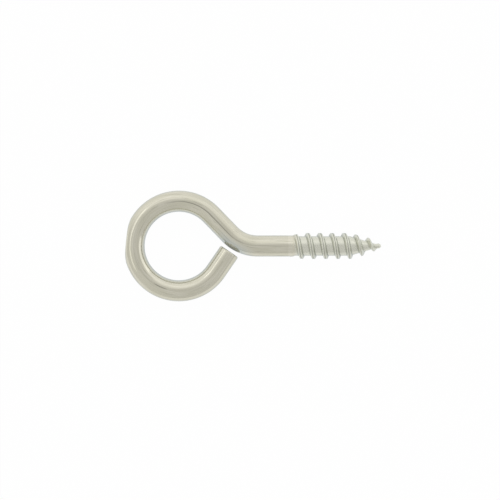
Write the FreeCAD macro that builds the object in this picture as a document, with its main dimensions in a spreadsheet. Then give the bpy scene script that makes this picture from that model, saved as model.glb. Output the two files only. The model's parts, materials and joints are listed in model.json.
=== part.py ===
"""Screw eye: one length of round steel wire, bent to an eye at one end and rolled to a wood thread
at the other.

The real object is a single piece, so the model is a single solid and nothing in it moves. It has
the features that making the piece gives it: the wire is bent to its centreline and its straight end
is pointed, the bending tool leaves its flat on the back of the eye, the cut edge at the open end of
the eye is dulled, and the dies press the groove of the thread round the pointed end.

Frame, in millimetres: the origin is the centre of the eye, +X runs along the shank from the eye to
the point, +Y lies in the plane of the eye on the side of its neck, and +Z is square to the eye.
"""

import FreeCAD
import Part
import Sketcher

import math
import os
from enum import IntEnum

NODE = "screw_eye"
PARTS_FOLDER = "parts"

# Driving dimensions. Lengths are in millimetres and angles in degrees.
SIZES = {
    "overall_length": 50.0,  # round outside of the eye to the tip of the point
    "wire_diameter": 4.1,
    "eye_inner_diameter": 13.3,
    "neck_slope": 46.0,  # straight run from the eye down to the shank, against the shank
    "neck_bend_radius": 7.55,  # centreline of the bend between that run and the shank
    "tail_slope": 55.5,  # straight end of the eye, against the shank
    "tail_gap": 0.6,  # middle of the tail's cut face to the bend of the neck
    "cut_edge_chamfer": 0.25,
    "tool_flat_depth": 0.48,
    "tool_flat_direction": 171.0,  # from +X, about the centre of the eye
    "thread_length": 17.65,
    "thread_major_diameter": 5.1,
    "run_in_length": 2.4,  # where the crests of the thread rise out of the wire
    "point_length": 6.0,
    "nose_length": 2.1,  # end of the point, where it steepens
    "nose_diameter": 3.1,
    "tip_radius": 0.4,
    "thread_pitch": 2.36,
    "root_diameter": 3.8,
    "groove_width": 1.16,  # along the shank, at the root
    "flank_angle": 30.0,  # sides of the groove, from square to the shank
}

# Radii and places that follow from the sizes, as expressions. A place is along the shank, from the
# centre of the eye.
WIRE_RADIUS = "(Sizes.wire_diameter / 2)"
EYE_RADIUS = f"(Sizes.eye_inner_diameter / 2 + {WIRE_RADIUS})"
EYE_OUTER_RADIUS = f"({EYE_RADIUS} + {WIRE_RADIUS})"
MAJOR_RADIUS = "(Sizes.thread_major_diameter / 2)"
NOSE_RADIUS = "(Sizes.nose_diameter / 2)"
ROOT_RADIUS = "(Sizes.root_diameter / 2)"
TIP_X = f"(Sizes.overall_length - {EYE_OUTER_RADIUS})"
THREAD_X = f"({TIP_X} - Sizes.thread_length)"
FULL_THREAD_X = f"({THREAD_X} + Sizes.run_in_length)"
POINT_X = f"({TIP_X} - Sizes.point_length)"
NOSE_X = f"({TIP_X} - Sizes.nose_length)"

# Turns of the groove between its start, outside the crests, and its full depth.
RUN_IN_TURNS = 0.5

# Turns that the groove goes on past the tip, so that it doesn't end in the metal.
RUN_OUT_TURNS = 0.25

# The groove's section widens outwards. It stops at this part of the height where it would meet its
# own next turn.
SECTION_REACH = 0.95

# How a sketch names its origin: the start of its horizontal axis.
ORIGIN = (-1, 1)

# A helix is made round +Z from +X. This turns it to run along the shank from +Y.
ALONG_SHANK = FreeCAD.Rotation(FreeCAD.Vector(1, 1, 1), 120)


class At(IntEnum):
    """How a sketch numbers the points of a line or an arc."""

    START = 1
    END = 2
    CENTRE = 3


def vector(x, y):
    return FreeCAD.Vector(x, y, 0)


def polar(radius, degrees):
    """The point at a radius and an angle from +X."""
    return vector(radius * math.cos(math.radians(degrees)), radius * math.sin(math.radians(degrees)))


def make_sheet(doc):
    """The spreadsheet that drives every feature."""
    sheet = doc.addObject("Spreadsheet::Sheet", "Sizes")
    for row, (alias, size) in enumerate(SIZES.items(), start=1):
        sheet.set(f"A{row}", alias)
        sheet.set(f"B{row}", str(size))
        sheet.setAlias(f"B{row}", alias)
    doc.recompute()
    return sheet


def value(sheet, expression):
    """What an expression comes to, for the first guess that a sketch is solved from."""
    return float(sheet.evalExpression(expression.replace("Sizes.", "")))


def new_sketch(body, name, role):
    """A sketch on one of the body's own origin planes."""
    sketch = body.newObject("Sketcher::SketchObject", name)
    plane = next(feature for feature in body.Origin.OriginFeatures if feature.Role == role)
    sketch.AttachmentSupport = [(plane, "")]
    sketch.MapMode = "FlatFace"
    return sketch


def relate(sketch, kind, *points):
    """A geometric constraint, such as Tangent or Coincident."""
    sketch.addConstraint(Sketcher.Constraint(kind, *points))


def put_on_axis(sketch, geometry, point):
    """Keeps a point on the sketch's horizontal axis, which is geometry -1."""
    relate(sketch, "PointOnObject", geometry, point, -1)


def drive(sketch, name, expression, kind, *points):
    """A dimension that is bound to the spreadsheet."""
    guess = value(sketch.Document.Sizes, expression)
    if kind == "Angle":
        guess = math.radians(guess)
    index = sketch.addConstraint(Sketcher.Constraint(kind, *points, guess))
    sketch.renameConstraint(index, name)
    sketch.setExpression(f"Constraints.{name}", expression)


def add_arc(sketch, centre, radius, start_degrees, end_degrees):
    circle = Part.Circle(centre, FreeCAD.Vector(0, 0, 1), radius)
    arc = Part.ArcOfCircle(circle, math.radians(start_degrees), math.radians(end_degrees))
    return sketch.addGeometry(arc)


def add_centreline(body, sheet):
    """The bent wire's centreline: tail, eye, neck, bend and shank, each tangent to the next.

    The shank points at the centre of the eye. The tail is as long as it can be before its cut face
    comes within the named gap of the bend.
    """
    eye_radius = value(sheet, EYE_RADIUS)
    bend_radius = value(sheet, "Sizes.neck_bend_radius")
    neck_slope = value(sheet, "Sizes.neck_slope")
    tail_slope = value(sheet, "Sizes.tail_slope")
    bend_reach = f"Sizes.neck_bend_radius + {WIRE_RADIUS} + Sizes.tail_gap"

    eye_end = polar(eye_radius, 90 - neck_slope)
    eye_start = polar(eye_radius, tail_slope - 90)
    bend_rise = bend_radius - polar(bend_radius, neck_slope).x
    neck_run = polar((eye_end.y - bend_rise) / math.sin(math.radians(neck_slope)), -neck_slope)
    bend_start = eye_end + neck_run
    bend_centre = bend_start + polar(bend_radius, 90 - neck_slope)
    bend_end = vector(bend_centre.x, 0)
    tail_direction = polar(1, tail_slope)
    to_bend = bend_centre - eye_start
    nearest = to_bend.dot(tail_direction)
    tail_length = nearest - math.sqrt(value(sheet, bend_reach) ** 2 - to_bend.Length**2 + nearest**2)
    tail_end = eye_start + tail_direction * tail_length

    sketch = new_sketch(body, "centreline", "XY_Plane")
    tail = sketch.addGeometry(Part.LineSegment(eye_start, tail_end))
    eye = add_arc(sketch, vector(0, 0), eye_radius, 90 - neck_slope, 270 + tail_slope)
    neck = sketch.addGeometry(Part.LineSegment(eye_end, bend_start))
    bend = add_arc(sketch, bend_centre, bend_radius, 270 - neck_slope, 270)
    shank = sketch.addGeometry(Part.LineSegment(bend_end, vector(value(sheet, THREAD_X), 0)))
    reach = sketch.addGeometry(Part.LineSegment(tail_end, bend_centre), True)

    relate(sketch, "Coincident", eye, At.CENTRE, *ORIGIN)
    relate(sketch, "Tangent", eye, At.END, tail, At.START)
    relate(sketch, "Tangent", eye, At.START, neck, At.START)
    relate(sketch, "Tangent", neck, At.END, bend, At.START)
    relate(sketch, "Tangent", bend, At.END, shank, At.START)
    put_on_axis(sketch, shank, At.START)
    put_on_axis(sketch, shank, At.END)
    relate(sketch, "Coincident", reach, At.START, tail, At.END)
    relate(sketch, "Coincident", reach, At.END, bend, At.CENTRE)
    drive(sketch, "eye_radius", EYE_RADIUS, "Radius", eye)
    drive(sketch, "bend_radius", "Sizes.neck_bend_radius", "Radius", bend)
    drive(sketch, "neck_slope", "-Sizes.neck_slope", "Angle", neck)
    drive(sketch, "tail_slope", "Sizes.tail_slope", "Angle", tail)
    drive(sketch, "bend_reach", bend_reach, "Distance", reach)
    drive(sketch, "shank_end", THREAD_X, "DistanceX", *ORIGIN, shank, At.END)
    return sketch, tail_end


def add_wire(body, sheet, centreline):
    """The round wire, swept along its centreline from the start of the thread back to the tail."""
    section = new_sketch(body, "wire_section", "YZ_Plane")
    section.setExpression("AttachmentOffset.Base.z", THREAD_X)
    circle = Part.Circle(vector(0, 0), FreeCAD.Vector(0, 0, 1), value(sheet, WIRE_RADIUS))
    outline = section.addGeometry(circle)
    relate(section, "Coincident", outline, At.CENTRE, *ORIGIN)
    drive(section, "wire_diameter", "Sizes.wire_diameter", "Diameter", outline)

    wire = body.newObject("PartDesign::AdditivePipe", "bent_wire")
    wire.Profile = section
    wire.Spine = (centreline, [])


def add_threaded_end(body, sheet):
    """The end at the size that its crests reach: run-in, full thread, point and nose."""
    wire_radius = value(sheet, WIRE_RADIUS)
    major_radius = value(sheet, MAJOR_RADIUS)
    nose_radius = value(sheet, NOSE_RADIUS)
    tip_radius = value(sheet, "Sizes.tip_radius")
    tip_x = value(sheet, TIP_X)
    corners = [
        vector(value(sheet, THREAD_X), 0),
        vector(value(sheet, THREAD_X), wire_radius),
        vector(value(sheet, FULL_THREAD_X), major_radius),
        vector(value(sheet, POINT_X), major_radius),
        vector(value(sheet, NOSE_X), nose_radius),
    ]
    tip_centre = vector(tip_x - tip_radius, 0)
    to_nose = corners[-1] - tip_centre
    turn = math.degrees(math.atan2(to_nose.y, to_nose.x) - math.acos(tip_radius / to_nose.Length))
    corners.append(tip_centre + polar(tip_radius, turn))

    sketch = new_sketch(body, "threaded_end_profile", "XY_Plane")
    lines = [sketch.addGeometry(Part.LineSegment(a, b)) for a, b in zip(corners, corners[1:])]
    tip = add_arc(sketch, tip_centre, tip_radius, 0, turn)
    axis = sketch.addGeometry(Part.LineSegment(vector(tip_x, 0), corners[0]))
    face, run_in, full_thread, point, nose = lines
    for line, following in zip(lines, lines[1:]):
        relate(sketch, "Coincident", line, At.END, following, At.START)
    relate(sketch, "Tangent", nose, At.END, tip, At.END)
    relate(sketch, "Coincident", tip, At.START, axis, At.START)
    relate(sketch, "Coincident", axis, At.END, face, At.START)
    put_on_axis(sketch, tip, At.CENTRE)
    put_on_axis(sketch, axis, At.START)
    put_on_axis(sketch, axis, At.END)
    relate(sketch, "Vertical", face)
    relate(sketch, "Horizontal", full_thread)
    drive(sketch, "wire_radius", WIRE_RADIUS, "DistanceY", *ORIGIN, face, At.END)
    drive(sketch, "major_radius", MAJOR_RADIUS, "DistanceY", *ORIGIN, full_thread, At.START)
    drive(sketch, "nose_radius", NOSE_RADIUS, "DistanceY", *ORIGIN, nose, At.START)
    drive(sketch, "tip_radius", "Sizes.tip_radius", "Radius", tip)
    drive(sketch, "thread_start", THREAD_X, "DistanceX", *ORIGIN, face, At.START)
    drive(sketch, "full_thread_start", FULL_THREAD_X, "DistanceX", *ORIGIN, full_thread, At.START)
    drive(sketch, "point_start", POINT_X, "DistanceX", *ORIGIN, point, At.START)
    drive(sketch, "nose_start", NOSE_X, "DistanceX", *ORIGIN, nose, At.START)
    drive(sketch, "tip", TIP_X, "DistanceX", *ORIGIN, axis, At.START)

    threaded_end = body.newObject("PartDesign::Revolution", "threaded_end")
    threaded_end.Profile = sketch
    threaded_end.ReferenceAxis = (sketch, ["H_Axis"])
    threaded_end.Angle = 360


def add_tool_flat(body, sheet):
    """The flat that the bending tool presses on the back of the eye."""
    outer = value(sheet, EYE_OUTER_RADIUS)
    depth = value(sheet, "Sizes.tool_flat_depth")
    flat_place = f"{EYE_OUTER_RADIUS} - Sizes.tool_flat_depth"
    clear_place = f"{EYE_OUTER_RADIUS} + Sizes.tool_flat_depth"
    corners = [
        vector(outer - depth, outer),
        vector(outer - depth, -outer),
        vector(outer + depth, -outer),
        vector(outer + depth, outer),
    ]

    sketch = new_sketch(body, "tool_flat_outline", "XY_Plane")
    sketch.setExpression("AttachmentOffset.Rotation.Angle", "Sizes.tool_flat_direction")
    ends = corners[1:] + corners[:1]
    sides = [sketch.addGeometry(Part.LineSegment(a, b)) for a, b in zip(corners, ends)]
    flat, bottom, clear, top = sides
    for number, side in enumerate(sides):
        relate(sketch, "Coincident", sides[number - 1], At.END, side, At.START)
    relate(sketch, "Vertical", flat)
    relate(sketch, "Vertical", clear)
    relate(sketch, "Horizontal", bottom)
    relate(sketch, "Horizontal", top)
    drive(sketch, "flat_place", flat_place, "DistanceX", *ORIGIN, flat, At.START)
    drive(sketch, "clear_place", clear_place, "DistanceX", *ORIGIN, clear, At.START)
    drive(sketch, "bottom_place", f"-{EYE_OUTER_RADIUS}", "DistanceY", *ORIGIN, bottom, At.START)
    drive(sketch, "top_place", EYE_OUTER_RADIUS, "DistanceY", *ORIGIN, top, At.START)

    flat_cut = body.newObject("PartDesign::Pocket", "tool_flat")
    flat_cut.Profile = sketch
    flat_cut.Type = "ThroughAll"
    flat_cut.Midplane = True


def dull_cut_edge(body, tail_end):
    """Chamfers the edge of the tail's cut face, which is the edge centred on the tail's end."""
    sharp = body.Tip
    distances = [edge.CenterOfMass.distanceToPoint(tail_end) for edge in sharp.Shape.Edges]
    number = distances.index(min(distances)) + 1
    chamfer = body.newObject("PartDesign::Chamfer", "cut_edge")
    chamfer.Base = (sharp, [f"Edge{number}"])
    chamfer.setExpression("Size", "Sizes.cut_edge_chamfer")


def helix_stretch(sheet, start, end):
    """A right-handed helix round the shank, from one (place, radius) to the next."""
    start_x, start_radius = start
    end_x, end_radius = end
    length = end_x - start_x
    pitch = value(sheet, "Sizes.thread_pitch")
    taper = math.degrees(math.atan2(end_radius - start_radius, length))
    helix = Part.makeLongHelix(pitch, length, start_radius, taper)
    turn = 360 * (start_x - value(sheet, THREAD_X)) / pitch
    round_shank = FreeCAD.Rotation(FreeCAD.Vector(1, 0, 0), turn)
    helix.Placement = FreeCAD.Placement(vector(start_x, 0), round_shank * ALONG_SHANK)
    return helix.Edges


def add_thread_groove(doc, sheet):
    """What the dies press out of the end: one section, carried round it on a helix.

    The groove comes down from the crests, keeps its root diameter as far as the point, and tapers
    from there towards the tip. The ridge left between its turns is the thread.

    The section stays in the plane of the shank's centreline, also where the helix passes from a
    cylinder to a cone. A helix or sweep feature would lean it over there, so the sweep is made here.
    """
    pitch = value(sheet, "Sizes.thread_pitch")
    half_width = value(sheet, "Sizes.groove_width") / 2
    flank_slope = math.tan(math.radians(value(sheet, "Sizes.flank_angle")))
    root_radius = value(sheet, ROOT_RADIUS)
    top_radius = value(sheet, MAJOR_RADIUS)
    start_x = value(sheet, THREAD_X)
    stations = [
        (start_x, top_radius),
        (start_x + RUN_IN_TURNS * pitch, root_radius),
        (value(sheet, POINT_X), root_radius),
        (value(sheet, TIP_X) + RUN_OUT_TURNS * pitch, value(sheet, "Sizes.tip_radius")),
    ]
    path = []
    for start, end in zip(stations, stations[1:]):
        path += helix_stretch(sheet, start, end)

    reach = SECTION_REACH * (pitch / 2 - half_width) / flank_slope
    half_top = half_width + reach * flank_slope
    corners = [
        vector(start_x - half_width, top_radius),
        vector(start_x + half_width, top_radius),
        vector(start_x + half_top, top_radius + reach),
        vector(start_x - half_top, top_radius + reach),
    ]
    sweep = Part.BRepOffsetAPI.MakePipeShell(Part.Wire(path))
    sweep.setBiNormalMode(FreeCAD.Vector(1, 0, 0))
    sweep.add(Part.makePolygon(corners + corners[:1]), False, False)
    sweep.build()
    sweep.makeSolid()

    groove = doc.addObject("Part::Feature", "thread_groove")
    groove.Shape = sweep.shape()
    return groove


def check(doc, piece):
    """Stops with a plain message if anything in the document has failed."""
    for item in doc.Objects:
        if "Invalid" in item.State or "Error" in item.State:
            raise RuntimeError(f"{item.Label} failed: {item.State}")
        if item.TypeId == "Sketcher::SketchObject" and not item.FullyConstrained:
            raise RuntimeError(f"{item.Label} isn't fully constrained")
    if piece.Shape.isNull() or not piece.Shape.isValid() or len(piece.Shape.Solids) != 1:
        raise RuntimeError(f"{piece.Label} isn't one valid solid")


def main():
    doc = FreeCAD.newDocument(NODE)
    sheet = make_sheet(doc)
    blank = doc.addObject("PartDesign::Body", "blank")

    centreline, tail_end = add_centreline(blank, sheet)
    add_wire(blank, sheet, centreline)
    add_threaded_end(blank, sheet)
    doc.recompute()
    round_volume = blank.Shape.Volume
    add_tool_flat(blank, sheet)
    doc.recompute()
    flat_volume = round_volume - blank.Shape.Volume
    dull_cut_edge(blank, tail_end)
    screw_eye = doc.addObject("Part::Cut", NODE)
    screw_eye.Base = blank
    screw_eye.Tool = add_thread_groove(doc, sheet)
    screw_eye.Label = NODE
    doc.recompute()
    check(doc, screw_eye)
    groove_volume = blank.Shape.Volume - screw_eye.Shape.Volume

    os.makedirs(PARTS_FOLDER, exist_ok=True)
    screw_eye.Shape.exportStep(os.path.join(PARTS_FOLDER, f"{screw_eye.Label}.step"))
    print(f"centreline {centreline.Shape.Length:.2f} mm, volume {screw_eye.Shape.Volume:.1f} mm3")
    print(f"the tool flat took {flat_volume:.2f} mm3 and the thread groove {groove_volume:.1f} mm3")


main()
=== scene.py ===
# %% [markdown]
# # A zinc-plated screw eye
# A screw eye is one piece of round steel wire. Its straight end is rolled into a wood thread, its
# other end is bent into an eye, and the whole piece is then plated with zinc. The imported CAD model
# gives its size and its place, so it is loaded first and never changed: the visual model is built
# around it, in metres, in the same frame. +X runs along the shank from the eye to the point, +Y
# lies in the plane of the eye, and +Z is square to the eye.

# %% Load the CAD frame
import json
from math import acos, atan2, cos, pi, radians, sin, sqrt

import bpy
import numpy as np
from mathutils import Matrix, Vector


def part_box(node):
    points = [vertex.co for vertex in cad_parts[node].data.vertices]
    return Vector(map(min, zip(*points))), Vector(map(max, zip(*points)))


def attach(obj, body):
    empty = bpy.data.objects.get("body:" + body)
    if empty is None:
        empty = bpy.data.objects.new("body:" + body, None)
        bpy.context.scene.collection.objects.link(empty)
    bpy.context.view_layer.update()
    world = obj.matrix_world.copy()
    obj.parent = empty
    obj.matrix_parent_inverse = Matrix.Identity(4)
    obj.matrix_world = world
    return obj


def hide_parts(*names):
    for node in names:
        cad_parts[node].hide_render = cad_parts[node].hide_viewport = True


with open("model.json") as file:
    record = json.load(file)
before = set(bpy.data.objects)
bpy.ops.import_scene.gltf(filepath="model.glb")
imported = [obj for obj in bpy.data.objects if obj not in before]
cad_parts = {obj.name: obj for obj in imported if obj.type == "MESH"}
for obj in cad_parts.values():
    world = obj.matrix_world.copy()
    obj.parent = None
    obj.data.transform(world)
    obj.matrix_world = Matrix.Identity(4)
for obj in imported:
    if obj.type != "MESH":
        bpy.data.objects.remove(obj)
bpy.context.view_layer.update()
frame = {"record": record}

MM = 0.001  # one millimetre, in Blender's metres
NODE = "screw_eye"
low_corner, high_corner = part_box(NODE)
print("CAD box in mm:", [round(side / MM, 2) for side in high_corner - low_corner])

# %% [markdown]
# ## Sizes
# A maker of screw eyes works from a few sizes: the wire, the eye, the bend of the neck and the
# thread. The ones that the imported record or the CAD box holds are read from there, so that the
# looks can't drift from the CAD. The others are named here once, and every place in the script
# follows from them.

# %% Driving sizes
mounts = {mount["name"]: mount for mount in frame["record"]["mounts"]}
WIRE_RADIUS = mounts["eye"]["dims"]["length_mm"] / 2 * MM
EYE_RADIUS = mounts["eye"]["dims"]["r_mm"] * MM + WIRE_RADIUS  # to the middle of the wire
MAJOR_RADIUS = mounts["threaded_end"]["dims"]["r_mm"] * MM
TIP_X = high_corner.x

NECK_SLOPE = radians(46)  # straight run from the eye down to the shank
NECK_BEND_RADIUS = 7.55 * MM
TAIL_SLOPE = radians(55.5)  # straight open end of the eye
TAIL_GAP = 0.6 * MM  # between the tail's cut face and the bend of the neck
CUT_EDGE_RADIUS = 0.3 * MM
TOOL_FLAT_DEPTH = 0.52 * MM
TOOL_FLAT_DIRECTION = radians(174)

THREAD_X = TIP_X - 17.65 * MM
FULL_THREAD_X = THREAD_X + 2.4 * MM
POINT_X = TIP_X - 6.0 * MM
NOSE_X = TIP_X - 2.1 * MM
NOSE_RADIUS = 1.55 * MM
TIP_RADIUS = 0.4 * MM
print(f"wire {2 * WIRE_RADIUS / MM:.1f} mm, eye {2 * (EYE_RADIUS - WIRE_RADIUS) / MM:.1f} mm")

# %% [markdown]
# ## The line that the wire follows
# Bent wire is simple to describe by the line along its middle: straight runs and arcs, each
# tangent to the next, because a bending tool leaves no corners. The path below goes from the open
# tail, round the eye, down the neck and through the bend to the shank, which points at the middle
# of the eye. It is written once and used twice: to make the wire, and later to tell the draw lines
# of its finish which way the wire runs.

# %% The path of the wire
def polar(radius, angle):
    """The point at a radius and an angle from +X, in the plane of the eye."""
    return Vector((radius * cos(angle), radius * sin(angle), 0))


eye_start = polar(EYE_RADIUS, TAIL_SLOPE - pi / 2)
eye_end = polar(EYE_RADIUS, pi / 2 - NECK_SLOPE)
neck_drop = eye_end.y - NECK_BEND_RADIUS * (1 - cos(NECK_SLOPE))
bend_start = eye_end + polar(neck_drop / sin(NECK_SLOPE), -NECK_SLOPE)
bend_centre = bend_start + polar(NECK_BEND_RADIUS, pi / 2 - NECK_SLOPE)
bend_end = Vector((bend_centre.x, 0, 0))

tail_direction = polar(1, TAIL_SLOPE)
to_bend = bend_centre - eye_start
nearest = to_bend.dot(tail_direction)
reach = NECK_BEND_RADIUS + WIRE_RADIUS + TAIL_GAP
tail_end = eye_start + tail_direction * (nearest - sqrt(reach**2 - to_bend.length**2 + nearest**2))


def straight(start, end):
    """A straight run of the path."""
    return {"start": start, "end": end, "length": (end - start).length}


def arc(centre, start, turn):
    """An arc of the path. A positive turn is to the left."""
    spoke = start - centre
    radius = spoke.length
    return {
        "centre": centre, "radius": radius, "from": atan2(spoke.y, spoke.x),
        "turn": turn, "length": radius * abs(turn),
    }


PATH = {
    "tail": straight(tail_end, eye_start),
    "eye": arc(Vector(), eye_start, -(pi + TAIL_SLOPE + NECK_SLOPE)),
    "neck": straight(eye_end, bend_start),
    "bend": arc(bend_centre, bend_start, NECK_SLOPE),
    "shank": straight(bend_end, Vector((THREAD_X, 0, 0))),
}
for name, leg in PATH.items():
    print(f"{name}: {leg['length'] / MM:.2f} mm")

# %% [markdown]
# ## The bent wire
# The real eye is made by bending a straight wire round a pin. Blender could bend a long cylinder
# with a modifier, but Extrude and Spin give the same shape exactly: a ring of points, as large as
# the wire, is pushed along each straight run and spun round the middle of each arc. The rings
# stand close together in the arcs, about 2 degrees apart, so that the highlights run smoothly.

# %% Start the wire at its open end
COLUMNS = 96  # points in each ring of the wire
QUARTER_TURN = pi / 2

bpy.ops.object.select_all(action="DESELECT")
bpy.ops.mesh.primitive_circle_add(
    vertices=COLUMNS, radius=WIRE_RADIUS, location=tail_end, rotation=(0, QUARTER_TURN, TAIL_SLOPE)
)
wire = bpy.context.object
wire.name = "bent_wire_eye"
bpy.ops.object.transform_apply(location=True, rotation=True, scale=True)

# %% Push and spin the ring along the path
ARC_STEP = radians(2)

bpy.ops.object.mode_set(mode="EDIT")
bpy.ops.mesh.select_all(action="SELECT")
for leg in PATH.values():
    if "turn" in leg:
        bpy.ops.mesh.spin(
            steps=round(abs(leg["turn"]) / ARC_STEP), angle=-leg["turn"],
            center=leg["centre"], axis=(0, 0, 1),
        )
    else:
        run = leg["end"] - leg["start"]
        bpy.ops.mesh.extrude_region_move(TRANSFORM_OT_translate={"value": run})
bpy.ops.object.mode_set(mode="OBJECT")
ends = [vertex.co for vertex in wire.data.vertices if vertex.select]
print(len(wire.data.vertices), "points, last ring at x =", round(ends[0].x / MM, 3), "mm")

# %% [markdown]
# ## The rolled thread
# A wood thread is rolled, not cut: two dies press a groove into the wire and the metal between
# swells up into a ridge, so the ridge stands higher than the wire and the root lies lower. The
# Screw modifier turns a ring of points about the shank while it moves it along, one turn for each
# pitch. The columns of the mesh then follow the thread, so its ridge keeps clean edges.

# %% A tube whose columns follow the thread
PITCH = 2.36 * MM
RINGS_PER_TURN = 60
turns = (TIP_X - THREAD_X) / PITCH

bpy.ops.object.select_all(action="DESELECT")
bpy.ops.mesh.primitive_circle_add(
    vertices=COLUMNS, radius=WIRE_RADIUS, location=(THREAD_X, 0, 0), rotation=(0, QUARTER_TURN, 0)
)
thread = bpy.context.object
bpy.ops.object.transform_apply(location=True, rotation=True, scale=True)
bpy.ops.object.modifier_add(type="SCREW")
screw = thread.modifiers["Screw"]
screw.axis = "X"
screw.angle = 2 * pi * turns
screw.screw_offset = TIP_X - THREAD_X
screw.steps = round(turns * RINGS_PER_TURN)
screw.render_steps = screw.steps
bpy.ops.object.modifier_apply(modifier="Screw")
print(f"{turns:.2f} turns, {len(thread.data.vertices)} points")

# %% [markdown]
# The ridge rises out of the wire, runs out on the cone of the point, and its height differs from
# place to place. No single transform gives that, so each point is set to its own distance from
# the axis, which a few short functions work out. The metal swells up from both sides of the groove
# in the die, so the two swells meet in a fine seam along the crest. The crests get narrower on the
# point. At the tip the dies nearly pinch the wire off, which leaves a small button.

# %% Its core, its crests and its ridge
CREST_PLACE = TIP_X - 11.88 * MM  # where a crest passes the +Y side
CREST_WIDTH = 0.56 * MM
NOSE_CREST_SHARE = 0.4  # how much of that width is left at the nose
RIDGE_BASE = 1.04 * MM
FLANK_BULGE = 0.2  # how much the flanks swell, as a share of their height
CROWN_SHARE = 0.1  # how much the crest falls off at its sides, as a share of the ridge
SEAM_WIDTH = 0.16 * MM  # where the two swells of the ridge meet on its crest
SEAM_SHARE = 0.12  # how deep the seam is, as a share of the ridge
NOSE_SEAM_SHARE = 0.2  # how much of the seam is left at the nose
ROOT_X = THREAD_X + 0.45 * MM  # where the dies begin to press the root in
FULL_ROOT_X = ROOT_X + 0.5 * MM
ROOT_RADIUS = 1.9 * MM
PINCH_X = TIP_X - 0.95 * MM  # the dies nearly pinch the wire off here, and leave a button
PINCH_RADIUS = 0.38 * MM
BUTTON_RADIUS = 0.47 * MM


def through(x, *corners):
    """The height at x of a line drawn through the corners."""
    return np.interp(x, [corner[0] for corner in corners], [corner[1] for corner in corners])


def crest_radius(x):
    """How far the crests of the thread reach. It is the outline of the CAD model."""
    tip_centre = TIP_X - TIP_RADIUS
    nose_angle = atan2(NOSE_RADIUS, NOSE_X - tip_centre)
    touch_angle = nose_angle - acos(TIP_RADIUS / Vector((NOSE_X - tip_centre, NOSE_RADIUS)).length)
    touch = polar(TIP_RADIUS, touch_angle)
    outline = through(
        x, (THREAD_X, WIRE_RADIUS), (FULL_THREAD_X, MAJOR_RADIUS), (POINT_X, MAJOR_RADIUS),
        (NOSE_X, NOSE_RADIUS), (tip_centre + touch.x, touch.y),
    )
    rounded = np.sqrt(np.clip(TIP_RADIUS**2 - (x - tip_centre) ** 2, 0, None))
    return np.where(x > tip_centre + touch.x, rounded, outline)


def root_radius(x):
    """The wood screw's core, from the wire to the point."""
    core = through(
        x, (ROOT_X, WIRE_RADIUS), (FULL_ROOT_X, ROOT_RADIUS), (POINT_X, ROOT_RADIUS),
        (PINCH_X, PINCH_RADIUS), (PINCH_X + PINCH_RADIUS / 2, BUTTON_RADIUS),
    )
    return np.minimum(core, crest_radius(x))


def from_crest(x, around):
    """How far a point lies from the middle of the crest beside it, along the shank."""
    return (x - CREST_PLACE - PITCH * around / (2 * pi) + PITCH / 2) % PITCH - PITCH / 2


def soft_line(distance, width):
    """1 on a line and 0 beside it, for a line that is about this wide."""
    return np.exp(-((2 * distance / width) ** 2))


def crest_seam(x, offset):
    """1 in the seam along the crest, and 0 beside it. The seam closes up on the point."""
    closing = through(x, (POINT_X, 1), (NOSE_X, NOSE_SEAM_SHARE))
    return soft_line(offset, SEAM_WIDTH) * closing


def ridge(x, offset):
    """1 on the crest and 0 on the root, at a distance along the shank from the crest's middle."""
    crest = CREST_WIDTH * through(x, (POINT_X, 1), (NOSE_X, NOSE_CREST_SHARE))
    flank = (RIDGE_BASE - crest) / 2
    rise = np.clip((RIDGE_BASE / 2 - abs(offset)) / flank, 0, 1)
    bulge = 1 + FLANK_BULGE * (1 - rise)
    crown = 1 - CROWN_SHARE * np.clip(2 * offset / crest, -1, 1) ** 2
    return rise * bulge * crown - SEAM_SHARE * crest_seam(x, offset)


print(f"the full ridge is {(MAJOR_RADIUS - ROOT_RADIUS) / MM:.2f} mm high")


# %% Set each point to its distance from the axis
def read_points(piece):
    """The vertices of a piece as an array of x, y and z."""
    points = np.empty(len(piece.data.vertices) * 3)
    piece.data.vertices.foreach_get("co", points)
    return points.reshape(-1, 3)


def write_points(piece, points):
    """Moves the vertices of a piece to these x, y and z."""
    piece.data.vertices.foreach_set("co", points.ravel())
    piece.data.update()


points = read_points(thread)
x, y, z = points.T
around = np.arctan2(z, y)
root = root_radius(x)
radius = root + (crest_radius(x) - root) * ridge(x, from_crest(x, around))
write_points(thread, np.stack([x, radius * np.cos(around), radius * np.sin(around)], axis=1))
print(f"crests reach {radius.max() / MM:.2f} mm from the axis")

# %% [markdown]
# The wire and its thread are one piece of steel, so they become one mesh. Join puts both in one
# object, and Merge by Distance then makes one ring of the two that touch. The faces of a spun
# and screwed mesh can point either way, so their normals are turned outwards last.

# %% Join the wire and its thread
WELD = 0.001 * MM

bpy.ops.object.select_all(action="DESELECT")
thread.select_set(True)
wire.select_set(True)
bpy.context.view_layer.objects.active = wire
bpy.ops.object.join()
bpy.ops.object.mode_set(mode="EDIT")
bpy.ops.mesh.select_all(action="SELECT")
bpy.ops.mesh.remove_doubles(threshold=WELD)
bpy.ops.mesh.normals_make_consistent(inside=False)
bpy.ops.object.mode_set(mode="OBJECT")
print(len(wire.data.vertices), "points in one mesh")

# %% [markdown]
# ## The sheared end
# The wire is sheared off square, and tumbling dulls the burr, so the edge at the open end of the
# eye is a small round. The ring that is still open there is found as the only edge with a face on
# one side. It is closed with one flat face, and its edge is then bevelled in a few steps, which
# gives a round edge of an exact size.

# %% Close the tail and dull its edge
CUT_EDGE_STEPS = 5

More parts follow.
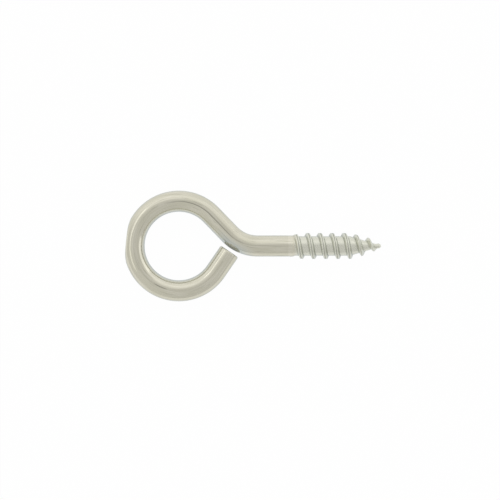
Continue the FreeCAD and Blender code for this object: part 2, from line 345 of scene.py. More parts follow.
bpy.ops.object.mode_set(mode="EDIT")
bpy.ops.mesh.select_all(action="DESELECT")
bpy.ops.mesh.select_mode(type="EDGE")
bpy.ops.mesh.select_non_manifold()
bpy.ops.mesh.edge_face_add()
bpy.ops.mesh.bevel(
    offset=CUT_EDGE_RADIUS, offset_type="OFFSET", segments=CUT_EDGE_STEPS, affect="EDGES"
)
bpy.ops.mesh.select_mode(type="VERT")
bpy.ops.object.mode_set(mode="OBJECT")
print(len(wire.data.polygons), "faces with the tail closed")

# %% [markdown]
# ## The flat of the bending tool
# The stop of the bending machine presses a small flat on the back of the eye. A bisect cut draws
# the flat's outline on the mesh, and the points that lie beyond the cut are then scaled onto its
# plane, as an artist does with Scale to zero along one axis. A cut flat would have a sharp edge,
# but a pressed one flows into the wire, so the points on it and round it are then smoothed.

# %% Press the flat
flat_normal = polar(1, TOOL_FLAT_DIRECTION)
flat_place = flat_normal * (EYE_RADIUS + WIRE_RADIUS - TOOL_FLAT_DEPTH)
PRESSED_EDGE = 0.35 * MM  # how far below the flat the wire is softened
SMOOTHING = {"factor": 0.5, "repeat": 24}

bpy.ops.object.mode_set(mode="EDIT")
bpy.ops.mesh.select_all(action="SELECT")
bpy.ops.mesh.bisect(plane_co=flat_place, plane_no=flat_normal, threshold=WELD)
bpy.ops.mesh.select_all(action="DESELECT")
bpy.ops.object.mode_set(mode="OBJECT")
for vertex in wire.data.vertices:
    vertex.select = (vertex.co - flat_place).dot(flat_normal) > 0
pressed = sum(vertex.select for vertex in wire.data.vertices)
along = Vector((-flat_normal.y, flat_normal.x, 0))
bpy.ops.object.mode_set(mode="EDIT")
bpy.ops.transform.resize(
    value=(0, 1, 1), orient_type="GLOBAL",
    orient_matrix=(flat_normal, along, (0, 0, 1)), orient_matrix_type="GLOBAL",
    constraint_axis=(True, False, False), center_override=flat_place,
)
bpy.ops.object.mode_set(mode="OBJECT")
for vertex in wire.data.vertices:
    vertex.select = (vertex.co - flat_place).dot(flat_normal) > -PRESSED_EDGE
bpy.ops.object.mode_set(mode="EDIT")
bpy.ops.mesh.vertices_smooth(**SMOOTHING)
bpy.ops.object.mode_set(mode="OBJECT")
beyond = max((vertex.co - flat_place).dot(flat_normal) for vertex in wire.data.vertices)
print(f"{pressed} points pressed; none is more than {max(beyond, 0) / MM:.3f} mm above the flat")

# %% [markdown]
# ## Shading and the way the wire runs
# The faces are shaded smooth, apart from edges that are really sharp. The marks on drawn wire run
# along it, so the finish needs to know where a point was before the wire was bent. Each point gets
# an attribute with three lengths: how far along the wire it is, how far to the left of the wire's
# middle, and how high. Unlike a UV map it has no seam, because the section stays two lengths.

# %% Smooth the faces
SHARP_ANGLE = radians(55)

bpy.ops.object.select_all(action="DESELECT")
wire.select_set(True)
bpy.context.view_layer.objects.active = wire
bpy.ops.object.shade_smooth_by_angle(angle=SHARP_ANGLE)
print(sum(edge.use_edge_sharp for edge in wire.data.edges), "edges are kept sharp")

# %% Where each point was on the straight wire
def place_on_leg(leg, flat_points):
    """How far along a leg each point is, how far to its left, and how far from its line."""
    if "turn" in leg:
        spokes = flat_points - np.array(leg["centre"][:2])
        side = np.sign(leg["turn"])
        swept = side * (np.arctan2(spokes[:, 1], spokes[:, 0]) - leg["from"]) % (2 * pi)
        swept = np.where(swept > pi + abs(leg["turn"]) / 2, swept - 2 * pi, swept)
        along = swept * leg["radius"]
        left = side * (leg["radius"] - np.hypot(*spokes.T))
    else:
        run = np.array((leg["end"] - leg["start"]).normalized()[:2])
        spokes = flat_points - np.array(leg["start"][:2])
        along = spokes @ run
        left = spokes @ np.array([-run[1], run[0]])
    past_end = np.maximum(-along, along - leg["length"])
    return along, left, np.hypot(left, np.maximum(past_end, 0))


points = read_points(wire)
PATH["shank"] = straight(bend_end, Vector((TIP_X, 0, 0)))
nearest_leg = np.full(len(points), np.inf)
wire_place = np.zeros((len(points), 3))
wire_place[:, 2] = points[:, 2]
start_of_leg = 0
for leg in PATH.values():
    along, left, distance = place_on_leg(leg, points[:, :2])
    closer = distance < nearest_leg
    wire_place[closer, 0] = start_of_leg + along[closer]
    wire_place[closer, 1] = left[closer]
    nearest_leg[closer] = distance[closer]
    start_of_leg += leg["length"]
attribute = wire.data.attributes.new("wire_place", "FLOAT_VECTOR", "POINT")
attribute.data.foreach_set("vector", wire_place.astype(np.float32).ravel())
THREAD_PLACE = sum(leg["length"] for leg in PATH.values()) - (TIP_X - ROOT_X)
print(f"straight, the wire is {wire_place[:, 0].max() / MM:.1f} mm long")

# %% [markdown]
# The narrow corners of the thread lie in shade, so a thin line of painted shade is drawn along both
# feet of the ridge and along the seam on its crest. A second attribute says how far a point lies in
# such a corner. It fades out where the ridge itself does.

# %% Where the corners of the thread are
CORNER_SHADE_WIDTH = 0.16 * MM
FEET_SHADE_SHARE = 0.6  # how dark the painted shade in the feet is, next to the seam
NOSE_FEET_SHADE_SHARE = 0.5  # how much of that is left at the nose
FULL_CORNER_HEIGHT = 0.4 * MM

x, y, z = points.T
offset = from_crest(x, np.arctan2(z, y))
feet = soft_line(abs(offset) - RIDGE_BASE / 2, CORNER_SHADE_WIDTH)
feet *= through(x, (POINT_X, 1), (NOSE_X, NOSE_FEET_SHADE_SHARE))
seam = crest_seam(x, offset)
height = np.clip((crest_radius(x) - root_radius(x)) / FULL_CORNER_HEIGHT, 0, 1)
# painted shade: this mask darkens the corners of the thread, where shade falls
corners = np.where(x > THREAD_X, np.maximum(FEET_SHADE_SHARE * feet, seam) * height, 0)
attribute = wire.data.attributes.new("thread_corner_shade", "FLOAT", "POINT")
attribute.data.foreach_set("value", corners.astype(np.float32))
print(f"{(corners > 0.5).sum()} points lie in a corner of the thread")

# %% [markdown]
# ## Helpers for the finishes
# A material is a small tree of nodes. One function adds a node with its settings and links, so
# that a material reads as a list of what it is made of. Colours are written as sRGB hex, as a
# maker's colour chart has them, and one function turns them into the linear values that the
# renderer works in.

# %% Colours and nodes
def to_linear(hex_colour):
    """The linear colour of an sRGB hex value."""
    channels = [int(hex_colour[place : place + 2], 16) / 255 for place in (1, 3, 5)]
    return [c / 12.92 if c <= 0.04045 else ((c + 0.055) / 1.055) ** 2.4 for c in channels] + [1]


def add_node(tree, kind, inputs=None, **settings):
    """Adds a node. Each input is a value, or the output that it is linked from."""
    node = tree.nodes.new(kind)
    for name, setting in settings.items():
        setattr(node, name, setting)
    for name, given in (inputs or {}).items():
        if isinstance(given, bpy.types.NodeSocket):
            tree.links.new(given, node.inputs[name])
        else:
            node.inputs[name].default_value = given
    return node


def new_tree(name):
    """A new material and its empty tree of nodes."""
    material = bpy.data.materials.new(name)
    material.use_nodes = True
    material.node_tree.nodes.clear()
    return material, material.node_tree


# A Mix node has sockets for numbers, vectors and colours, so its colour ones go by their places.
MIX_A = 6
MIX_B = 7
MIX_RESULT = 2
print("the grey #808080 is", round(to_linear("#808080")[0], 3), "in linear light")

# %% [markdown]
# ## Zinc on drawn wire
# Drawn steel wire is smooth with fine lines along it, left by the die. Zinc from a plating bath
# follows them, and the pale passivate over it warms its colour a little. The eye sees a soft
# mirror: bands of light that run with the wire, slightly broken by the lines and by faint stains
# from drying. The lines are drawn about 0.15 mm wide. On the real wire they are finer, but then
# they would melt into an even grey as soon as the whole screw eye is in view.

# %% The lines
DRAW_LINE_WIDTH = 0.15 * MM
DRAW_LINE_LENGTH = 9 * MM
DRAW_LINE_DEPTH = 0.012 * MM
DRAW_LINE_RELIEF = 0.3  # how much of that depth the light shows
LINE_CONTRAST = {"From Min": 0.22, "From Max": 0.78}
LINE_DARK = to_linear("#CCC8B4")
LINE_BRIGHT = to_linear("#EAE7D8")

wire_finish, tree = new_tree("zinc_plated_drawn_wire")
place = add_node(tree, "ShaderNodeAttribute", attribute_name="wire_place").outputs["Vector"]
line_scale = (1 / DRAW_LINE_LENGTH, 1 / DRAW_LINE_WIDTH, 1 / DRAW_LINE_WIDTH)
line_place = add_node(tree, "ShaderNodeMapping", {"Vector": place, "Scale": line_scale})
lines = add_node(
    tree, "ShaderNodeTexNoise",
    {"Vector": line_place.outputs["Vector"], "Scale": 1.0, "Detail": 3.0, "Roughness": 0.6},
).outputs["Fac"]
line_strength = add_node(tree, "ShaderNodeMapRange", {"Value": lines, **LINE_CONTRAST})
streaks = add_node(
    tree, "ShaderNodeMix",
    {"Factor": line_strength.outputs["Result"], MIX_A: LINE_DARK, MIX_B: LINE_BRIGHT},
    data_type="RGBA",
)
relief = add_node(
    tree, "ShaderNodeBump",
    {"Height": lines, "Strength": DRAW_LINE_RELIEF, "Distance": DRAW_LINE_DEPTH},
)
print(len(tree.nodes), "nodes for the lines")

# %% The stains
STAIN_SIZE = 1.6 * MM
STAIN_LENGTH = 5 * MM
STAIN_EDGE = {"From Min": 0.42, "From Max": 0.68}
STAINED = to_linear("#D5D2BF")
MOST_OF_NOISE = {"From Min": 0.3, "From Max": 0.7}  # nearly all values of a noise lie in here
WIRE_ROUGHNESS = {"To Min": 0.09, "To Max": 0.17}

stain_scale = (1 / STAIN_LENGTH, 1 / STAIN_SIZE, 1 / STAIN_SIZE)
stain_place = add_node(tree, "ShaderNodeMapping", {"Vector": place, "Scale": stain_scale})
stains = add_node(
    tree, "ShaderNodeTexNoise",
    {"Vector": stain_place.outputs["Vector"], "Scale": 1.0, "Detail": 3.0, "Roughness": 0.55},
).outputs["Fac"]
stained = add_node(tree, "ShaderNodeMapRange", {"Value": stains, **STAIN_EDGE})
tint = add_node(
    tree, "ShaderNodeMix",
    {"Factor": stained.outputs["Result"], MIX_A: streaks.outputs[MIX_RESULT], MIX_B: STAINED},
    data_type="RGBA",
)
gloss = add_node(
    tree, "ShaderNodeMapRange", {"Value": stains, **MOST_OF_NOISE, **WIRE_ROUGHNESS}
)
print(len(tree.nodes), "nodes with the stains")

# %% [markdown]
# Some marks stand out on the wire. A painted dark reflection runs as a thin line along its crown:
# a long one over the top of the eye and the neck, and a short one on the far side. Tumbling has
# added a few small scratches, which hold less zinc, so they look darker. Just before the thread
# the zinc is thicker and creamier. On the outer side of the neck's bend, and inside the eye, the
# reflections get a painted bluish cast. Bands along and across the wire put each in its place.

# %% Bands on the wire
spot = add_node(tree, "ShaderNodeSeparateXYZ", {"Vector": place}).outputs


def add_band(tree, value, middle, half_width, soft, strength=1.0):
    """The strength where a length is near the middle, falling to 0 over the soft part."""
    offset = add_node(tree, "ShaderNodeMath", {0: value, 1: middle}, operation="SUBTRACT")
    distance = add_node(tree, "ShaderNodeMath", {0: offset.outputs["Value"]}, operation="ABSOLUTE")
    inputs = {
        "Value": distance.outputs["Value"],
        "From Min": half_width + soft, "From Max": half_width, "To Max": strength,
    }
    return add_node(tree, "ShaderNodeMapRange", inputs).outputs["Result"]


def add_length(tree, pattern, start, end, fade, strength):
    """The part of a pattern that lies on one length of the wire, with soft ends."""
    middle, half_length = (start + end) / 2, (end - start) / 2
    band = add_band(tree, spot["X"], middle, half_length - fade, fade, strength)
    part = add_node(tree, "ShaderNodeMath", {0: pattern, 1: band}, operation="MULTIPLY")
    return part.outputs["Value"]


eye_begins = PATH["tail"]["length"]
neck_ends = eye_begins + PATH["eye"]["length"] + PATH["neck"]["length"]
print(f"the neck ends {neck_ends / MM:.1f} mm along the wire")

# %% The painted reflection lines on the crown
REFLECTION_LINE_LEFT = -0.1 * MM  # the painted reflection lines lie just inside the top of the wire
REFLECTION_LINE_WIDTH = 0.14 * MM
REFLECTION_LINE_STRENGTH = 0.75
TOP_BAND = 0.5 * MM  # how far below the top of the wire counts as its top
TOP_FADE = 0.2 * MM
LONG_LINE_ANGLE = radians(215)  # how far round the eye the long one starts
LONG_LINE_IN_BEND = 4 * MM
LONG_LINE_FADE = 5 * MM
SHORT_LINE_ANGLES = (radians(69), radians(90))
SHORT_LINE_FADE = 0.8 * MM

# painted reflection: a thin dark line along the crown of the wire
across = add_band(tree, spot["Y"], REFLECTION_LINE_LEFT, REFLECTION_LINE_WIDTH / 4, REFLECTION_LINE_WIDTH / 2)
on_top = add_band(tree, spot["Z"], WIRE_RADIUS, TOP_BAND, TOP_FADE)
thin_line = add_node(tree, "ShaderNodeMath", {0: across, 1: on_top}, operation="MULTIPLY")
long_reflection_line = add_length(
    tree, thin_line.outputs["Value"], eye_begins + LONG_LINE_ANGLE * EYE_RADIUS,
    neck_ends + LONG_LINE_IN_BEND, LONG_LINE_FADE, REFLECTION_LINE_STRENGTH,
)
start, end = [eye_begins + angle * EYE_RADIUS for angle in SHORT_LINE_ANGLES]
short_reflection_line = add_length(
    tree, thin_line.outputs["Value"], start, end, SHORT_LINE_FADE, REFLECTION_LINE_STRENGTH
)
reflection_lines = add_node(tree, "ShaderNodeMath", {0: long_reflection_line, 1: short_reflection_line}, operation="MAXIMUM")
print(f"the short score is {(end - start) / MM:.1f} mm long")

# %% The shoulder
SHOULDER = 0.8 * MM
SHOULDER_FADE = 0.1 * MM
SHOULDER_STRENGTH = 0.35
SHOULDER_CREAM = to_linear("#F0ECDC")

shoulder = add_band(
    tree, spot["X"], THREAD_PLACE - SHOULDER / 2, SHOULDER / 2, SHOULDER_FADE, SHOULDER_STRENGTH
)
tint = add_node(
    tree, "ShaderNodeMix",
    {"Factor": shoulder, MIX_A: tint.outputs[MIX_RESULT], MIX_B: SHOULDER_CREAM},
    data_type="RGBA",
)
print(f"the shoulder ends {THREAD_PLACE / MM:.1f} mm along the wire")

# %% The scratches
SCRATCH_LENGTH = 10 / 3 * MM
SCRATCH_ANGLE = radians(2)  # they lie almost along the wire
SCRATCH_STRENGTH = 0.45
SCRATCH_EDGE = {"From Min": 0.66, "From Max": 0.74}  # only a noise's highest parts are scratches
BARE_STEEL_AND_DARK_REFLECTION = to_linear("#88867A")

scratch_scale = (1 / SCRATCH_LENGTH, 1 / DRAW_LINE_WIDTH, 1 / DRAW_LINE_WIDTH)
scratch_place = add_node(
    tree, "ShaderNodeMapping",
    {"Vector": place, "Scale": scratch_scale, "Rotation": (0, 0, SCRATCH_ANGLE)},
)
scratch_noise = add_node(
    tree, "ShaderNodeTexNoise",
    {"Vector": scratch_place.outputs["Vector"], "Scale": 0.8, "Detail": 1.0, "Roughness": 0.4},
)
scratches = add_node(
    tree, "ShaderNodeMapRange",
    {"Value": scratch_noise.outputs["Fac"], **SCRATCH_EDGE, "To Max": SCRATCH_STRENGTH},
)
# the painted reflection lines and the real scratches darken towards one colour
scratches_and_reflection_lines = add_node(
    tree, "ShaderNodeMath",
    {0: reflection_lines.outputs["Value"], 1: scratches.outputs["Result"]}, operation="MAXIMUM",
)
tint = add_node(
    tree, "ShaderNodeMix",
    {"Factor": scratches_and_reflection_lines.outputs["Value"], MIX_A: tint.outputs[MIX_RESULT], MIX_B: BARE_STEEL_AND_DARK_REFLECTION},
    data_type="RGBA",
)
print(len(tree.nodes), "nodes with the scores and the scratches")

# %% The painted bluish cast on the reflections in the bend and inside the eye
BLUISH_REFLECTION_TINT = to_linear("#B9C6CC")
BEND_TINT_START = -5.5 * MM  # from the middle of the bend, where the painted tint starts on its outer side
BEND_TINT_END = 2.5 * MM
BEND_TINT_FADE = 3.0 * MM
BEND_TINT_STRENGTH = 0.65
EYE_TINT_FADE = 2.0 * MM
EYE_TINT_STRENGTH = 0.35
STRETCHED_SIDE = {"From Min": -0.1 * WIRE_RADIUS, "From Max": -0.8 * WIRE_RADIUS}
INNER_SIDE = {"From Min": -0.75 * WIRE_RADIUS, "From Max": -0.95 * WIRE_RADIUS}

bend_middle = neck_ends + PATH["bend"]["length"] / 2
# painted reflection: a bluish cast where the bend mirrors the tail end and the eye mirrors its far
# side
stretched_side = add_node(tree, "ShaderNodeMapRange", {"Value": spot["Y"], **STRETCHED_SIDE})
bend_reflection_tint = add_length(
    tree, stretched_side.outputs["Result"], bend_middle + BEND_TINT_START,
    bend_middle + BEND_TINT_END, BEND_TINT_FADE, BEND_TINT_STRENGTH,
)
inner_side = add_node(tree, "ShaderNodeMapRange", {"Value": spot["Y"], **INNER_SIDE})
eye_reflection_tint = add_length(
    tree, inner_side.outputs["Result"], 0, neck_ends + eye_begins, EYE_TINT_FADE,
    EYE_TINT_STRENGTH,
)
bluish_reflection_tint = add_node(tree, "ShaderNodeMath", {0: bend_reflection_tint, 1: eye_reflection_tint}, operation="MAXIMUM")
tint = add_node(
    tree, "ShaderNodeMix",
    {"Factor": bluish_reflection_tint.outputs["Value"], MIX_A: tint.outputs[MIX_RESULT], MIX_B: BLUISH_REFLECTION_TINT},
    data_type="RGBA",
)
print(len(tree.nodes), "nodes with the film")

# %% Put the wire's finish together
# At a glancing angle the passivate looks bluish, so the shader's edge tint is a pale blue. Its
# film is also a little milky, so a small part of the light is scattered and not mirrored.
PASSIVATE_EDGE = to_linear("#DEE5EF")
MIRRORED_SHARE = 0.76

shader = add_node(
    tree, "ShaderNodeBsdfPrincipled",
    {
        "Base Color": tint.outputs[MIX_RESULT], "Metallic": MIRRORED_SHARE,
        "Roughness": gloss.outputs["Result"], "Normal": relief.outputs["Normal"],
        "Specular Tint": PASSIVATE_EDGE,
    },
)
add_node(tree, "ShaderNodeOutputMaterial", {"Surface": shader.outputs["BSDF"]})
print(wire_finish.name, "has", len(tree.nodes), "nodes")

# %% [markdown]
# ## Zinc on the rolled thread
# The dies leave the thread with a duller, finely pitted skin, so it looks greener and more matt
# than the wire, with a soft change of colour where it begins. Its corners get painted shade. The
# pits are alike in all directions, so their pattern needs only the place in the piece.

# %% The pitted skin
PIT_SIZE = 0.22 * MM
PIT_DEPTH = 0.02 * MM
PIT_RELIEF = 0.4  # how much of that depth the light shows
COLOUR_CHANGE = 1.0 * MM
SKIN_DARK = to_linear("#D9D9CA")
SKIN_BRIGHT = to_linear("#ECECDF")
SKIN_START = to_linear("#DFDBC8")

thread_finish, tree = new_tree("zinc_plated_rolled_thread")
place = add_node(tree, "ShaderNodeTexCoord").outputs["Object"]
pits = add_node(
    tree, "ShaderNodeTexNoise",
    {"Vector": place, "Scale": 1 / PIT_SIZE, "Detail": 3.0, "Roughness": 0.6},
).outputs["Fac"]
skin = add_node(
    tree, "ShaderNodeMix",
    {"Factor": pits, MIX_A: SKIN_DARK, MIX_B: SKIN_BRIGHT}, data_type="RGBA",
)
along = add_node(tree, "ShaderNodeSeparateXYZ", {"Vector": place}).outputs["X"]
rolled = add_node(
    tree, "ShaderNodeMapRange",
    {"Value": along, "From Min": ROOT_X, "From Max": ROOT_X + COLOUR_CHANGE},
)
skin = add_node(
    tree, "ShaderNodeMix",
    {"Factor": rolled.outputs["Result"], MIX_A: SKIN_START, MIX_B: skin.outputs[MIX_RESULT]},
    data_type="RGBA",
)
relief = add_node(
    tree, "ShaderNodeBump", {"Height": pits, "Strength": PIT_RELIEF, "Distance": PIT_DEPTH}
)
print(len(tree.nodes), "nodes for the skin")

# %% The painted shade in its corners
CORNER_SHADE_STRENGTH = 0.72
CORNER_SHADE_COLOUR = to_linear("#6C6E60")
THREAD_ROUGHNESS = {"To Min": 0.24, "To Max": 0.38}

# painted shade: the corners of the thread are mixed towards a dark colour
corners = add_node(tree, "ShaderNodeAttribute", attribute_name="thread_corner_shade").outputs["Fac"]
corner_shade = add_node(tree, "ShaderNodeMath", {0: corners, 1: CORNER_SHADE_STRENGTH}, operation="MULTIPLY")
tint = add_node(
    tree, "ShaderNodeMix",
    {"Factor": corner_shade.outputs["Value"], MIX_A: skin.outputs[MIX_RESULT], MIX_B: CORNER_SHADE_COLOUR},
    data_type="RGBA",
)
gloss = add_node(
    tree, "ShaderNodeMapRange", {"Value": pits, **MOST_OF_NOISE, **THREAD_ROUGHNESS}
)
shader = add_node(
    tree, "ShaderNodeBsdfPrincipled",
    {
        "Base Color": tint.outputs[MIX_RESULT], "Metallic": MIRRORED_SHARE,
        "Roughness": gloss.outputs["Result"], "Normal": relief.outputs["Normal"],
        "Specular Tint": PASSIVATE_EDGE,
    },
)
add_node(tree, "ShaderNodeOutputMaterial", {"Surface": shader.outputs["BSDF"]})
print(thread_finish.name, "has", len(tree.nodes), "nodes")

# %% [markdown]
# ## Zinc on the sheared end
# A shear cuts the first third of a wire cleanly and breaks the rest. The cut part is smooth with
# fine lines in the way the blade went. The broken part is grainy and dull, and it scatters about
# half of the light. The plating is thin there, so the face looks paler and bluer than the wire.

# %% The clean cut and the break
GRAIN_SIZE = 0.12 * MM
BLADE_LINE_WIDTH = 0.1 * MM
BLADE_LINE_LENGTH = 1.0 * MM
CLEAN_CUT_HEIGHT = WIRE_RADIUS / 3
CLEAN_CUT_FADE = 0.1 * MM

sheared_finish, tree = new_tree("zinc_plated_sheared_steel")
place = add_node(tree, "ShaderNodeTexCoord").outputs["Object"]
height = add_node(tree, "ShaderNodeSeparateXYZ", {"Vector": place}).outputs["Z"]
broken = add_node(
    tree, "ShaderNodeMapRange",
    {
        "Value": height,
        "From Min": CLEAN_CUT_HEIGHT + CLEAN_CUT_FADE, "From Max": CLEAN_CUT_HEIGHT,
    },
)
grain = add_node(
    tree, "ShaderNodeTexNoise",
    {"Vector": place, "Scale": 1 / GRAIN_SIZE, "Detail": 4.0, "Roughness": 0.65},
)
blade_scale = (1 / BLADE_LINE_WIDTH, 1 / BLADE_LINE_WIDTH, 1 / BLADE_LINE_LENGTH)
blade_place = add_node(tree, "ShaderNodeMapping", {"Vector": place, "Scale": blade_scale})
blade_lines = add_node(
    tree, "ShaderNodeTexNoise",
    {"Vector": blade_place.outputs["Vector"], "Scale": 1.0, "Detail": 2.0, "Roughness": 0.5},
)
texture = add_node(
    tree, "ShaderNodeMix",
    {
        0: broken.outputs["Result"],
        2: blade_lines.outputs["Fac"], 3: grain.outputs["Fac"],
    },
    data_type="FLOAT",
).outputs[0]
print(f"the clean cut begins {CLEAN_CUT_HEIGHT / MM:.2f} mm above the wire's middle")

# %% The finish of the sheared end
GRAIN_DEPTH = 0.04 * MM
GRAIN_RELIEF = 0.6  # how much of that depth the light shows
SHEARED_DARK = to_linear("#C6CCD0")
SHEARED_BRIGHT = to_linear("#E6EAEE")
SHEARED_ROUGHNESS = {"To Min": 0.2, "To Max": 0.45}  # the cut part, and the broken part
SHEARED_MIRRORED_SHARE = 0.5

tint = add_node(
    tree, "ShaderNodeMix",
    {"Factor": texture, MIX_A: SHEARED_DARK, MIX_B: SHEARED_BRIGHT}, data_type="RGBA",
)
gloss = add_node(
    tree, "ShaderNodeMapRange", {"Value": broken.outputs["Result"], **SHEARED_ROUGHNESS}
)
relief = add_node(
    tree, "ShaderNodeBump",
    {"Height": texture, "Strength": GRAIN_RELIEF, "Distance": GRAIN_DEPTH},
)
shader = add_node(
    tree, "ShaderNodeBsdfPrincipled",
    {
        "Base Color": tint.outputs[MIX_RESULT], "Metallic": SHEARED_MIRRORED_SHARE,
        "Roughness": gloss.outputs["Result"], "Normal": relief.outputs["Normal"],
        "Specular Tint": PASSIVATE_EDGE,
    },
)
add_node(tree, "ShaderNodeOutputMaterial", {"Surface": shader.outputs["BSDF"]})
print(sheared_finish.name, "has", len(tree.nodes), "nodes")

# %% [markdown]
# ## Which face gets which finish
# On the real piece the finish changes where the dies took hold. Each face of the mesh gets its
# finish by where it lies: the faces past the start of the root are thread, and the one in the
# middle of the open end is sheared. The one piece then stands for the node of the CAD model.

# %% Give each face its finish
for finish in (wire_finish, thread_finish, sheared_finish):
    wire.data.materials.append(finish)
for face in wire.data.polygons:
    if face.center.x > ROOT_X:
        face.material_index = 1
    elif (face.center - tail_end).length < CUT_EDGE_RADIUS:  # only the end face is so near
        face.material_index = 2
counts = [sum(face.material_index == slot for face in wire.data.polygons) for slot in range(3)]
print("faces of drawn wire, thread and sheared end:", counts)

# %% Place it in the frame
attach(wire, "root")
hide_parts(NODE)
print(wire.name, "rides on root and stands for", NODE)

# %% [markdown]
# ## The table
# The screw eye lies flat on a table inside a light tent. The table is a plain square, covered
# with matt white card that keeps a faint shadow. What the camera and the metal see of it is close
# to pure white, which its material does with the Light Path node.

# %% The table
TABLE_SIDE = 2.0
TABLE_WHITE = to_linear("#F7F7F5")
WHITE_TO_CAMERA = 0.98  # how much of the table's white is its own, for the camera
WHITE_TO_METAL = 0.8  # and in the metal's reflections, which show its shading

bpy.ops.object.select_all(action="DESELECT")
bpy.ops.mesh.primitive_plane_add(size=TABLE_SIDE, location=(0, 0, low_corner.z))
table = bpy.context.object
table.name = "table"
bpy.ops.object.transform_apply(location=True, rotation=True, scale=True)
table_finish, tree = new_tree("matt_coated_card")
rays = add_node(tree, "ShaderNodeLightPath").outputs
mirrored = add_node(
    tree, "ShaderNodeMath",
    {0: rays["Is Glossy Ray"], 1: rays["Is Transmission Ray"]}, operation="MAXIMUM",
)
to_metal = add_node(
    tree, "ShaderNodeMath", {0: mirrored.outputs["Value"], 1: WHITE_TO_METAL}, operation="MULTIPLY"
)
to_camera = add_node(
    tree, "ShaderNodeMath", {0: rays["Is Camera Ray"], 1: WHITE_TO_CAMERA}, operation="MULTIPLY"
)
white = add_node(
    tree, "ShaderNodeMath",
    {0: to_camera.outputs["Value"], 1: to_metal.outputs["Value"]}, operation="MAXIMUM",
)
matt = add_node(tree, "ShaderNodeBsdfDiffuse", {"Color": TABLE_WHITE})
glow = add_node(tree, "ShaderNodeEmission", {"Color": (1, 1, 1, 1), "Strength": 1.0})
surface = add_node(
    tree, "ShaderNodeMixShader",
    {0: white.outputs["Value"], 1: matt.outputs["BSDF"], 2: glow.outputs["Emission"]},
)
add_node(tree, "ShaderNodeOutputMaterial", {"Surface": surface.outputs["Shader"]})
table.data.materials.append(table_finish)
print(f"the table is at z = {low_corner.z / MM:.2f} mm, under the thread's crests")

# %% [markdown]
# ## The light tent
# Bright metal shows what stands around it, so the light is built as the metal sees it. The cloth
# of the tent is white. A window behind it, on the +Y side, makes that half brighter, with a soft
# edge overhead, and the light falls off towards the table. A little light also comes from the
# far side of the eye. The camera looks in through a small darker opening in the top. Each part
# is a range of directions, which are given by how far they point along an axis.

# %% How bright each direction is
WINDOW_EDGE = {"From Min": 0.19, "From Max": 0.72}  # along Y
ABOVE_TABLE = {"From Min": 0.1, "From Max": 0.54}  # along Z
LOW_SHARE = 0.6  # how much of the window's light comes from near the table
FAR_SIDE = {"From Min": 0.05, "From Max": -0.4}  # along X
FAR_SHARE = 0.24  # how much light comes from the far side of the eye

world = bpy.data.worlds.new("light_tent")
bpy.context.scene.world = world
world.use_nodes = True
tree = world.node_tree
tree.nodes.clear()
direction = add_node(tree, "ShaderNodeTexCoord").outputs["Generated"]
axes = add_node(tree, "ShaderNodeSeparateXYZ", {"Vector": direction}).outputs
window = add_node(
    tree, "ShaderNodeMapRange", {"Value": axes["Y"], **WINDOW_EDGE},
    interpolation_type="SMOOTHSTEP",
)
above_table = add_node(
    tree, "ShaderNodeMapRange", {"Value": axes["Z"], **ABOVE_TABLE, "To Min": LOW_SHARE}
)
lit = add_node(
    tree, "ShaderNodeMath",
    {0: window.outputs["Result"], 1: above_table.outputs["Result"]}, operation="MULTIPLY",
)
far_side = add_node(
    tree, "ShaderNodeMapRange", {"Value": axes["X"], **FAR_SIDE, "To Max": FAR_SHARE}
)
lit = add_node(
    tree, "ShaderNodeMath",
    {0: lit.outputs["Value"], 1: far_side.outputs["Result"]}, operation="ADD",
)
print(len(tree.nodes), "nodes for the window and the far side")

# %% The cloth and the opening
CLOTH_LIGHT = 0.645
WINDOW_LIGHT = 1.05
OPENING_LIGHT = 0.5
OPENING_EDGE = {"From Min": 0.9965, "From Max": 0.999}  # along Z: a small round spot overhead


def grey(light):
    """A neutral colour of this brightness."""
    return (light, light, light, 1)


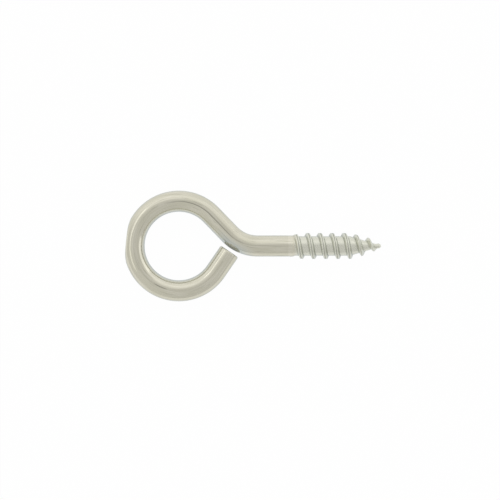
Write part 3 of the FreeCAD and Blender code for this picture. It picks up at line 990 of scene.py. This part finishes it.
cloth = add_node(
    tree, "ShaderNodeMix",
    {"Factor": lit.outputs["Value"], MIX_A: grey(CLOTH_LIGHT), MIX_B: grey(WINDOW_LIGHT)},
    data_type="RGBA",
)
opening = add_node(tree, "ShaderNodeMapRange", {"Value": axes["Z"], **OPENING_EDGE})
inside = add_node(
    tree, "ShaderNodeMix",
    {
        "Factor": opening.outputs["Result"],
        MIX_A: cloth.outputs[MIX_RESULT], MIX_B: grey(OPENING_LIGHT),
    },
    data_type="RGBA",
)
tent = add_node(
    tree, "ShaderNodeBackground", {"Color": inside.outputs[MIX_RESULT], "Strength": 1.0}
)
add_node(tree, "ShaderNodeOutputWorld", {"Surface": tent.outputs["Background"]})
print(world.name, "has", len(tree.nodes), "nodes")

# %% [markdown]
# ## The lamps
# Two softboxes stand low beside the tent. The left one draws the bright line on the outer side of
# the eye, and the right one draws the line on its inner side. Both are wide and weak, so the
# zinc keeps its colour inside the lines. Each lamp is given by its direction from the eye.

# %% The softboxes
LAMP_DISTANCE = 0.5
LAMP_WIDTH = 0.5


def add_softbox(name, azimuth, from_zenith, height, radiance):
    """A rectangular lamp that faces the eye, from a direction given in degrees."""
    towards = Vector((
        sin(radians(from_zenith)) * cos(radians(azimuth)),
        sin(radians(from_zenith)) * sin(radians(azimuth)),
        cos(radians(from_zenith)),
    ))
    lamp = bpy.data.lights.new(name, "AREA")
    lamp.shape = "RECTANGLE"
    lamp.size = LAMP_WIDTH
    lamp.size_y = height
    lamp.energy = radiance * pi * LAMP_WIDTH * height
    holder = bpy.data.objects.new(name, lamp)
    bpy.context.scene.collection.objects.link(holder)
    holder.location = towards * LAMP_DISTANCE
    holder.rotation_euler = towards.to_track_quat("Z", "Y").to_euler()
    print(f"{name}: {lamp.energy:.3f} W")


add_softbox("left_strip", azimuth=170, from_zenith=42, height=0.09, radiance=0.54)
add_softbox("right_softbox", azimuth=15, from_zenith=69, height=0.24, radiance=0.45)

# %% [markdown]
# ## The camera
# The camera looks straight down on the eye, as for a page in a parts catalogue. Its long lens
# keeps the eye round and the shank straight.

# %% The camera
LENS = 100
SENSOR = 36
VIEW_WIDTH = 97.1 * MM  # how much of the table it sees
VIEW_CENTRE = (13.81 * MM, -0.78 * MM)

camera_data = bpy.data.cameras.new("camera")
camera_data.lens = LENS
camera_data.sensor_width = SENSOR
camera = bpy.data.objects.new("camera", camera_data)
bpy.context.scene.collection.objects.link(camera)
camera.location = (*VIEW_CENTRE, VIEW_WIDTH * LENS / SENSOR)
bpy.context.scene.camera = camera
bpy.context.scene.view_settings.view_transform = "Standard"
print(f"the camera is {camera.location.z / MM:.0f} mm above the middle of the wire")
